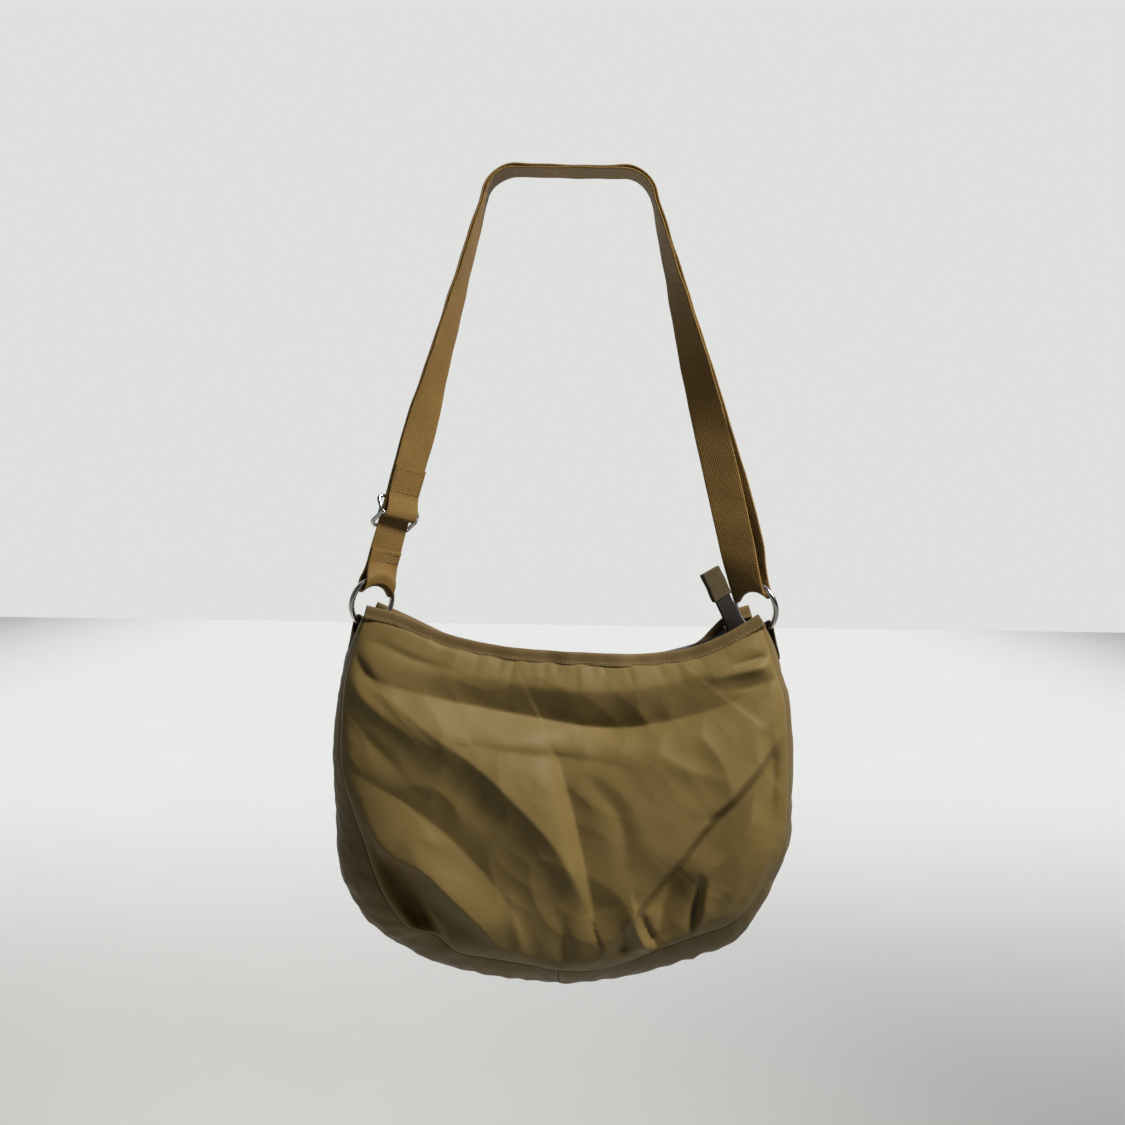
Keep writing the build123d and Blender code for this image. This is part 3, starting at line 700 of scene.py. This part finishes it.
def rim_strip(rim, y):
    """Middle line and up directions of the binding along a rim."""
    tangent = tangents_of(rim)
    up = np.stack([-tangent[:, 1], np.zeros(len(rim)), tangent[:, 0]], axis=1)
    base = np.stack([rim[:, 0], np.full(len(rim), y), rim[:, 1]], axis=1)
    return base - up * BINDING_HEIGHT / 2, up


def build_bindings():
    """Folded tape over both rims, each with a row of stitches."""
    length, stitch_out, stitch_down = 280, 1.75, 2.4
    parts = []
    for label, rim, facing in (("front", RIM_FRONT, -1), ("back", RIM_BACK, 1)):
        path, up = rim_strip(rim, facing * MOUTH_HALF)
        run = np.linspace(0, length, len(path))
        sway = 0.5 * np.sin(run / 7 + 2 * np.sin(run / 23)) + 0.35 * np.sin(run / 3.1)
        outward = np.zeros_like(path)
        outward[:, 1] = facing
        path = path + outward * (sway * np.sin(math.pi * run / length))[:, None]
        profile = np.array([(-1.5, -4.5), (-2.15, -4.2), (-2.15, -3.3), (-1.6, -2.5), (-1.5, 0),
                            (-1.45, 2.6), (-1.1, 3.9), (-0.4, 4.5), (0.4, 4.5), (1.1, 3.9),
                            (1.5, 2.6), (1.6, 0), (1.7, -2.5), (2.25, -3.3), (2.25, -4.2),
                            (1.6, -4.5)])
        points, faces = tube_points(path, profile, outward, up)
        turned = [face[::-1] for face in faces] if facing > 0 else faces
        uv = np.stack([np.repeat(run, len(profile)),
                       np.tile(lengths_along(profile), len(path))], axis=1)
        mesh_object(label + "_binding_tape", points, turned, BINDING, "bag",
                    [label + "_rim_binding"], uv)
        row = path + outward * stitch_out - up * stitch_down
        parts.append(stitches(row, outward, 1.9, 1.0, 0.32))
    points, faces = join_parts(parts)
    mesh_object("rim_stitches", points, faces, THREAD, "bag")


def zip_line(count, reach=118.0):
    """The zip's line over the mouth, an arc that is a little slack at its right end."""
    radius, centre_z = 308.4, -34.135
    angles = np.linspace(-math.asin(reach / radius), math.asin(reach / radius), count)
    x = radius * np.sin(angles)
    slack = 4.6 * ease((x - 30) / 35) * ease((122 - x) / 12)
    return np.stack([x, centre_z - radius * np.cos(angles) - slack], axis=1)


def build_zip():
    """Zip tapes, their coils and the end stops."""
    line = zip_line(150)
    inner_edge, outer_edge, columns, tuck = 3.8, 19.2, 14, 7.5
    samples, turn_count, coil_middle, wire = 2600, 150, 4.3, 0.33
    for label, facing, rim in (("front", -1, RIM_FRONT), ("back", 1, RIM_BACK)):
        across = np.linspace(inner_edge, outer_edge, columns)
        edge = np.interp(line[:, 0], rim[:, 0], rim[:, 1]) - tuck
        share = ((across - inner_edge) / (outer_edge - inner_edge))[None, :]
        sag = -1.4 * np.sin(math.pi * share) + 0.35 * np.sin(line[:, 0] / 6.0)[:, None] * share
        z = line[:, 1][:, None] * (1 - share ** 1.5) + edge[:, None] * share ** 1.5 + sag
        grid = np.stack([np.repeat(line[:, :1], columns, axis=1),
                         np.repeat(facing * across[None], len(line), axis=0), z], axis=2)
        if facing > 0:
            grid = grid[::-1]
        sheet_piece("zip_tape_cloth_" + label, grid, 0.7, TAPE, "bag", ["zip_tape_" + label])
        turns = zip_line(samples, 113)
        phase = np.arange(samples) / samples * math.tau * turn_count
        path = np.stack([turns[:, 0], facing * coil_middle + 1.15 * np.cos(phase),
                         turns[:, 1] + 0.95 + 0.75 * np.sin(phase)], axis=1)
        laterals, normals = path_frames(path)
        points, faces = tube_points(path, circle_profile(wire, 6), laterals, normals)
        mesh_object("zip_coil_" + label + "_turns", points, faces, COIL, "bag",
                    ["zip_coil_" + label])
    soften("zip_end_stops", 0.35, ZIP_METAL)


def soften(node, radius, material, body="bag"):
    """A copy of a plain CAD node with rounded edges."""
    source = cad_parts[node]
    piece = source.copy()
    piece.data = source.data.copy()
    piece.name = node + "_finished"
    piece.parent = None
    bpy.context.scene.collection.objects.link(piece)
    merge = piece.modifiers.new("merge", "WELD")
    merge.merge_threshold = 0.00002
    bevel = piece.modifiers.new("bevel", "BEVEL")
    bevel.width = radius * MM
    bevel.segments = 3
    bevel.limit_method = "ANGLE"
    bevel.angle_limit = 0.6
    bpy.context.view_layer.objects.active = piece
    mesh = bpy.data.meshes.new_from_object(
        piece.evaluated_get(bpy.context.evaluated_depsgraph_get()))
    piece.modifiers.clear()
    piece.data = mesh
    mesh.materials.clear()
    mesh.materials.append(material)
    mesh.shade_smooth()
    mesh.set_sharp_from_angle(angle=0.7)
    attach(piece, body)
    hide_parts(node)


# ---------------------------------------------------------------- strap, rings and tabs

TILT = math.radians(15.104)
RING_X, RING_Z, RING_R, WIRE_R = 134.6, -304.341, 16.9, 1.9
RUN_TOP = 293.3         # where a side of the strap bends over, above its ring's centre
TOP_Z = 1.6 - LIFT
TOP_HALF = 53.79        # half the strap's width at the height of its flat top
TOP_RADIUS = 22.0
TURN_START, TURN_LENGTH = 285.7, 160.0
WEBBING_WIDTH, WEBBING_THICK = 25.0, 1.4
LAYER = 0.9             # each layer lies this far from the strap's middle
BAR_HEIGHT = 63.9       # the strap slider's middle bar, above the left ring's centre
BAR_OFFSET = 3.4


def strap_axes(side, turn):
    """Up along a side of the strap, across its width and out of its inner face."""
    angle = np.radians(np.atleast_1d(turn))[:, None]
    up = np.array([-side * math.sin(TILT), 0, math.cos(TILT)])
    outward = np.array([side * math.cos(TILT), 0, math.sin(TILT)])
    across = outward * np.sin(angle) - np.array([0, 1, 0]) * np.cos(angle)
    inward = -outward * np.cos(angle) - np.array([0, 1, 0]) * np.sin(angle)
    return up, across, inward


def frame_turn(height):
    """The frame's own turn at a height above a ring's centre."""
    return 45 * np.clip((TURN_START - height) / TURN_LENGTH, 0, 1)


def centre_at(side, height):
    """The strap's middle at a height above its ring's centre."""
    return np.array([side * RING_X, 0, RING_Z]) + strap_axes(side, 0)[0] * height


def strap_points(side, stations):
    """Middle points, width directions and heights of webbing through rows of
    (height, offset, turn of its width, shift over its width)."""
    rows = np.array(stations, float)
    lay = strap_axes(side, frame_turn(rows[:, 0]))[2]
    across = strap_axes(side, rows[:, 2])[1]
    middle = centre_at(side, rows[:, :1]) + lay * rows[:, 1:2] + across * rows[:, 3:4]
    return middle, across, rows[:, 0]


def top_points(shift, way):
    """The strap's line over its flat top, from one side to the other."""
    radius = TOP_RADIUS + shift
    flat = TOP_HALF - TOP_RADIUS * math.tan((math.pi / 2 - TILT) / 2)
    turn = np.linspace(0, math.pi / 2 - TILT, 16)
    left = np.stack([-flat - radius * np.sin(turn), np.zeros(16),
                     TOP_Z - TOP_RADIUS + radius * np.cos(turn)], axis=1)[::-1]
    xs = np.linspace(-flat, flat, 16)[1:-1]
    dip = -0.7 * np.cos(xs / flat * math.pi / 2)
    middle = np.stack([xs, np.zeros(14), TOP_Z + shift + dip * (shift > 0)], axis=1)
    right = left[::-1] * np.array([-1, 1, 1])
    line = np.concatenate([left, middle, right])
    return line if way > 0 else line[::-1]


def strip(name, middles, acrosses, cups, width, thickness, material, body, nodes, count):
    """Webbing along middle points, its width lying along the across directions."""
    table = np.concatenate([middles, acrosses, cups], axis=1)
    curve = smooth_curve(table, count)
    path, across, cup = curve[:, :3], curve[:, 3:6], curve[:, 6:]
    tangent = tangents_of(path)
    across = unit(across - tangent * (across * tangent).sum(axis=1, keepdims=True))
    normal = np.cross(across, tangent)
    profile = rounded_profile(width, thickness, thickness * 0.42, 16, 3)
    points, faces = tube_points(path, profile, across, normal)
    w = np.tile(profile[:, 0], count)[:, None]
    drop = RING_R - np.sqrt(np.maximum(RING_R ** 2 - w ** 2, 1))
    points = points + np.repeat(cup, len(profile), axis=0) * drop
    run = lengths_along(path)
    wave = 0.22 * np.sin(run / 9.0 + 2.0 * np.sin(run / 37)) + 0.15 * np.sin(run / 4.1)
    points = points + (np.repeat(normal * wave[:, None], len(profile), axis=0)
                       * (w / width) * 2)
    uv = np.stack([np.tile(profile[:, 0] + 30, count), np.repeat(run, len(profile))], axis=1)
    return mesh_object(name, points, faces, material, body, nodes, uv)


def loop_rows(start, turn_in, turn_out, radius=5.0):
    """Stations round the top of a ring's wire, from one offset to the other."""
    rows = []
    for k, angle in enumerate(np.linspace(0, math.pi, 13)):
        offset = start * radius * math.cos(angle)
        height = RING_R - radius * math.sin(angle)
        rows.append((height, offset, turn_in + (turn_out - turn_in) * k / 12, 0))
    return rows


def build_strap():
    """The one long strap: sewn left end, outer layer, right loop and inner layer."""
    start_end = [(38.0, 0.55, 47, 0), (33.0, 0.55, 47, 0), (28.6, 0.75, 47, 0),
                 (24.6, 2.7, 46, 0), (20.9, 4.6, 45, 0)]
    up_outer = [(20.9, -4.6, 45, 0), (24.6, -2.9, 46, 0), (28.6, -1.1, 47, 0),
                (38, -0.9, 48, 0), (50, -0.9, 48, 0), (72, -0.9, 48, 0), (100, -0.9, 49, 0),
                (132, -0.9, 48, 0), (152, -0.9, 38, 0), (179, -0.9, 26, 0), (234, -0.9, 12, 0),
                (270, -0.9, 4, 0), (285, -0.9, 0, 0)]
    down_right = [(285, -0.9, 0, 0), (262, -0.9, 8, 0), (232, -0.9, 18, 0), (190, -0.9, 36, 0),
                  (147, -1.0, 52, 1.0), (112, -1.6, 57, 2.2), (75, -3.0, 57, 3.2),
                  (45, -4.6, 53, 2.6), (30, -5.0, 48, 1.0), (20.9, -5.0, 45, 0)]
    up_inner = [(20.9, 5.0, 52, 0), (30, 4.8, 58, 0), (45, 4.0, 66, 0), (75, 2.6, 72, 0),
                (112, 1.4, 67, 0), (147, 0.9, 57, 0), (190, 0.9, 38, 0), (232, 0.9, 19, 0),
                (262, 0.9, 8, 0), (285, 0.9, 0, 0)]
    parts = []

    def add_side(side, stations):
        middle, across, height = strap_points(side, stations)
        cup = strap_axes(side, 0)[0] * -1.2 * ease((32 - height) / 9)[:, None]
        parts.append((middle, across * side, cup))

    def add_top(shift, way):
        arch = top_points(shift, way)
        parts.append((arch, np.tile([[0, -1, 0]], (len(arch), 1)), np.zeros((len(arch), 3))))

    add_side(-1, start_end + loop_rows(1, 45, 45, 4.6)[1:-1] + up_outer)
    add_top(LAYER, 1)
    add_side(1, down_right + loop_rows(-1, 45, 52)[1:-1] + up_inner)
    add_top(-LAYER, -1)
    middles, acrosses, cups = (np.concatenate(column) for column in zip(*parts))
    for k in range(1, len(acrosses)):
        if np.dot(acrosses[k], acrosses[k - 1]) < 0:
            acrosses[k] *= -1
    strip("strap_webbing", middles, acrosses, cups, WEBBING_WIDTH, WEBBING_THICK, WEBBING,
          "strap", ["webbing_top_outer", "webbing_top_inner", "webbing_right_outer",
                    "webbing_right_inner", "webbing_right_bend", "webbing_left_outer",
                    "webbing_left_end"], 1900)


def build_slider_webbing():
    """The inner layer on the left, folded round the slider's bar."""
    bar = BAR_HEIGHT
    down_inner = [(RUN_TOP + 0.4, 0.9, 0, 0), (270, 0.9, 4, 0), (234, 0.9, 12, 0),
                  (179, 0.9, 26, 0), (152, 0.9, 38, 0), (132, 0.9, 48, 0), (104, 1.0, 49, 0),
                  (bar + 24, 0.9, 48, 0), (bar + 8, 0.9, 48, 0), (bar + 1.5, 0.9, 48, 0)]
    round_bar = [(bar - 2.5 * math.sin(a), BAR_OFFSET - 2.5 * math.cos(a), 48, 0)
                 for a in np.linspace(0, math.pi, 9)]
    back_up = [(bar + 3, 5.8, 48, 0), (bar + 8, 4.4, 48, 0), (bar + 13, 2.7, 48, 0),
               (bar + 17, 2.35, 48, 0), (bar + 26, 2.35, 48, 0), (bar + 34, 2.45, 48, 0)]
    middle, across, _ = strap_points(-1, down_inner + round_bar + back_up)
    inner = strip("strap_inner_webbing", middle, across, np.zeros_like(middle), WEBBING_WIDTH,
                  WEBBING_THICK, WEBBING, None, ["webbing_left_inner", "webbing_slider_end"],
                  620)
    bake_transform(inner)


def build_strap_stitches():
    """The stitched box at each sewn end of the strap."""
    _, across, inward = strap_axes(-1, 48)
    across, inward = across[0], inward[0]
    for label, heights, base, offset, body in (
            ("ring_end", (29.9, 35.9), 0.0, 1.3, "strap"),
            ("slider_end", (16.2, 31.8), BAR_HEIGHT, 3.1, "strap_slider")):
        spread = np.linspace(-11, 11, 24)[:, None]
        sides = np.linspace(*heights, 12)[:, None]
        lines = [(height, height, spread) for height in heights]
        lines += [(heights[0], sides, edge) for edge in (-11, 11)]
        rows = []
        for turned_at, height, aside in lines:
            lay = strap_axes(-1, frame_turn(base + turned_at))[2][0]
            path = centre_at(-1, base + height) + lay * offset + across * aside
            rows.append(stitches(path, np.tile(inward, (len(path), 1)), 1.7, 0.9, 0.34))
        points, faces = join_parts(rows)
        mesh_object(label + "_stitches", points, faces, THREAD, body, [label + "_stitching"])


def build_rings():
    """Two round wire rings."""
    for label, side in (("left", -1), ("right", 1)):
        up, across, inward = strap_axes(side, 45)
        angles = np.linspace(0, math.tau, 160, endpoint=False)[:, None]
        radial = up * np.cos(angles) + across * np.sin(angles)
        path = centre_at(side, 0) + radial * RING_R
        points, faces = tube_points(path, circle_profile(WIRE_R, 28), radial,
                                    np.tile(inward, (160, 1)), True)
        mesh_object(label + "_ring_wire", points, faces, RING_METAL, label + "_ring",
                    [label + "_ring"])


def build_strap_slider():
    """A bent wire frame, whose middle bar lies before the webbing and its ends behind it."""
    up, across, inward = strap_axes(-1, 45)
    centre = centre_at(-1, BAR_HEIGHT)
    reach, rail, corner, wire = 10.5, 16.0, 3.2, 1.5

    def place(x, y, offset):
        return centre - across[0] * x + up * y + inward[0] * offset

    outline = []
    for quarter, (cx, cy) in enumerate(((1, 1), (-1, 1), (-1, -1), (1, -1))):
        for k in range(9):
            angle = math.pi / 2 * (quarter + k / 8)
            outline.append((cx * (rail - corner) + corner * math.cos(angle),
                            cy * (reach - corner) + corner * math.sin(angle)))
    path = []
    for (x0, y0), (x1, y1) in zip(outline, outline[1:] + outline[:1]):
        for k in range(3):
            x, y = x0 + (x1 - x0) * k / 3, y0 + (y1 - y0) * k / 3
            bent = math.sin(math.pi / 2 * min(1, abs(y) / (reach - 0.6))) ** 2
            path.append(place(x, y, BAR_OFFSET - 2 * BAR_OFFSET * bent))
    path = np.array(path)
    laterals, normals = path_frames(path, True)
    outer = tube_points(path, circle_profile(wire), laterals, normals, True)
    bar = np.array([place(x, 0, BAR_OFFSET) for x in np.linspace(-rail, rail, 12)])
    laterals, normals = path_frames(bar)
    middle = tube_points(bar, circle_profile(wire), laterals, normals)
    points, faces = join_parts([outer, middle])
    mesh_object("strap_slider_wire", points, faces, RING_METAL, "strap_slider",
                ["strap_slider"])


def build_ring_tabs():
    """Folded fabric tabs that hold the rings at the top of the side bands."""
    for label, side in (("left", -1), ("right", 1)):
        up = strap_axes(side, 45)[0]
        centre = centre_at(side, 0)
        foot, low, bend = np.array([side * 148.6, -0.6, -341.0]), -36.5, 4.6
        rows, widths, cups = [], [], []
        legs = [(low, 1.3, 6), (-31, 1.6, 18), (-26, 2.6, 34), (-21.5, 4.0, 43)]
        around = [(-(RING_R - bend * math.sin(a)), bend * math.cos(a), 45)
                  for a in np.linspace(0, math.pi, 11)]
        back = [(height, -offset, turn) for height, offset, turn in legs[::-1]]
        for height, offset, turn in legs + around + back:
            _, across, inward = strap_axes(side, turn)
            straight = centre + up * height + inward[0] * offset
            share = ease((-20 - height) / 16)
            target = foot + up * (height - low) + inward[0] * offset
            rows.append(straight * (1 - share) + target * share)
            widths.append(across[0])
            cups.append(up * 0.95 * ease((height + 26) / 5))
        # painted shade: the tabs' dark nylon stands in for the shade they hang in
        strip(label + "_tab_cloth", np.array(rows), np.array(widths), np.array(cups), 15.5, 1.3,
              TAB_PAINTED_SHADE, "bag", [label + "_ring_tab"], 170)


def build_zip_tail():
    """The zip's free end: two layers of black tape in a folded fabric end tab."""
    lean = math.radians(26)
    foot = np.array([119.0, -9.0, -316.158])
    up = np.array([-math.sin(lean), 0, math.cos(lean)])
    side = np.array([math.cos(lean), 0, math.sin(lean)])
    twist = math.radians(-34)
    forward = np.array([0, -1, 0])
    lateral = side * math.cos(twist) + forward * math.sin(twist)
    normal = np.cross(lateral, up)
    rows, widths = [], []
    for run, bow, spin in ((-7, 3.0, 0.25), (-3, 1.6, 0.5), (2, 0.4, 0.8), (8, -0.5, 1),
                           (15, -0.6, 1), (24, 0, 1), (36, 0, 1)):
        rows.append(foot + up * run + forward * -bow + side * (0.5 if run < 0 else 0))
        turn = twist * spin
        widths.append(side * math.cos(turn) + forward * math.sin(turn))
    strip("zip_tail_cloth", np.array(rows), np.array(widths), np.zeros((7, 3)), 14.4, 2.0,
          TAPE, "zip_tail", ["zip_tail_tape"], 60)
    profile = rounded_profile(17, 4.2, 1.2, 14, 4)
    runs = np.concatenate([[21.2, 21.5], np.linspace(22.2, 41.2, 22), [41.9, 42.2]])
    sizes = np.concatenate([[0.9, 0.97], np.ones(22), [0.97, 0.9]])
    parts = []
    for run, size in zip(runs, sizes):
        skew = 0.35 * math.sin(run / 2.3)
        flat = profile * np.array([1 - (1 - size) * 0.4, size])
        flat = flat + np.stack([np.zeros(len(flat)), skew * (flat[:, 0] / 9) ** 2], axis=1)
        parts.append(foot + up * run + lateral * flat[:, :1] + normal * flat[:, 1:])
    points = np.concatenate(parts)
    # painted shade: the end tab's dark nylon stands in for the shade on its face
    mesh_object("zip_end_tab_cloth", points, ring_faces(len(runs), len(profile)), TAB_PAINTED_SHADE,
                "zip_tail", ["zip_end_tab"])
    low, half_width, surface = 24.2, 7.3, 2.15
    seam = foot + up * low - normal * surface
    across = np.array([seam + lateral * half_width * (2 * k / 11 - 1) for k in range(12)])
    rising = np.array([seam + up * 1.4 * k + lateral * half_width for k in range(12)])
    facing = np.tile(-normal, (12, 1))
    points, faces = join_parts([stitches(across, facing, 1.6, 0.9, 0.27),
                                stitches(rising, facing, 1.6, 0.9, 0.27)])
    mesh_object("end_tab_stitches", points, faces, THREAD, "zip_tail")


def build_floor_and_camera():
    """A pale floor and a camera at the picture's viewing angle."""
    far, level = 9, -1.3
    floor_mesh = bpy.data.meshes.new("floor")
    floor_mesh.from_pydata([(-far, -far, level), (far, -far, level), (far, far, level),
                            (-far, far, level)], [], [(0, 1, 2, 3)])
    floor = bpy.data.objects.new("floor", floor_mesh)
    bpy.context.scene.collection.objects.link(floor)
    n = Nodes("pale_floor")
    n.link(n.mix(n.noise(n.place(), 3, 2), (0.84, 0.84, 0.83), (0.88, 0.88, 0.87)), "Base Color")
    floor_mesh.materials.append(n.finish(0.8, 0.2))

    camera = bpy.data.objects.new("camera", bpy.data.cameras.new("camera"))
    camera.data.lens = 36.03
    camera.data.sensor_width = 36
    camera.matrix_world = (Matrix.Translation((-0.0014, -0.788, -0.2255))
                           @ Matrix.Rotation(math.radians(86.9), 4, "X")
                           @ Matrix.Rotation(math.radians(0.81), 4, "Z"))
    bpy.context.scene.collection.objects.link(camera)
    bpy.context.scene.camera = camera


def build_lights():
    """A key light from the upper right, a faint fill, and a wide light over the floor behind."""
    bpy.context.scene.view_settings.view_transform = "Standard"
    bag, floor_behind = (0, 0, -0.4), (0, 6.2, -1)
    for name, place, aim, size, energy, colour in (
            ("key", (0.95, -0.72, 1.0), bag, 0.4, 6.3, (1.0, 0.97, 0.93)),
            ("fill", (-1.1, -1.0, 0.1), bag, 1.2, 0.1, (0.92, 0.96, 1.0)),
            ("back", (0.0, 6.2, 2.4), floor_behind, 9.0, 165, (1, 1, 1))):
        light = bpy.data.objects.new(name, bpy.data.lights.new(name, "AREA"))
        light.data.size = size
        light.data.energy = energy
        light.data.color = colour
        light.data.spread = math.radians(62)
        light.location = place
        way = Vector(aim) - Vector(place)
        light.rotation_euler = way.to_track_quat("-Z", "Y").to_euler()
        bpy.context.scene.collection.objects.link(light)


def build_world():
    """Room light that is dim in front and bright behind and above, on an even pale backdrop."""
    dim, bright, rise = 0.02, 0.80, 0.35
    n = Nodes("pale_room", bpy.data.worlds, "Background")
    bpy.context.scene.world = n.block
    where = n.add("ShaderNodeTexCoord").outputs["Generated"]
    parts = n.add("ShaderNodeSeparateXYZ", [(0, where)]).outputs
    place = n.maths("ADD", parts[1], n.maths("MULTIPLY", parts[2], rise))
    spread = n.ramp(place, dim, bright, 0.08, 0.8)
    seen = n.add("ShaderNodeLightPath").outputs["Is Camera Ray"]
    pick = n.add("ShaderNodeMapRange", [("Value", seen), ("To Min", spread)], in_To_Max=bright)
    n.link(pick.outputs[0], "Strength")
    n.shader.inputs["Color"].default_value = (0.93, 0.94, 0.92, 1)


build_panels()
build_gussets()
build_bindings()
build_zip()
soften("zip_slider", 0.35, ZIP_METAL, "zip_slider")
soften("zip_pull", 0.3, ZIP_METAL, "zip_pull")
build_strap()
build_slider_webbing()
build_strap_stitches()
build_rings()
build_strap_slider()
build_ring_tabs()
build_zip_tail()
build_floor_and_camera()
build_lights()
build_world()
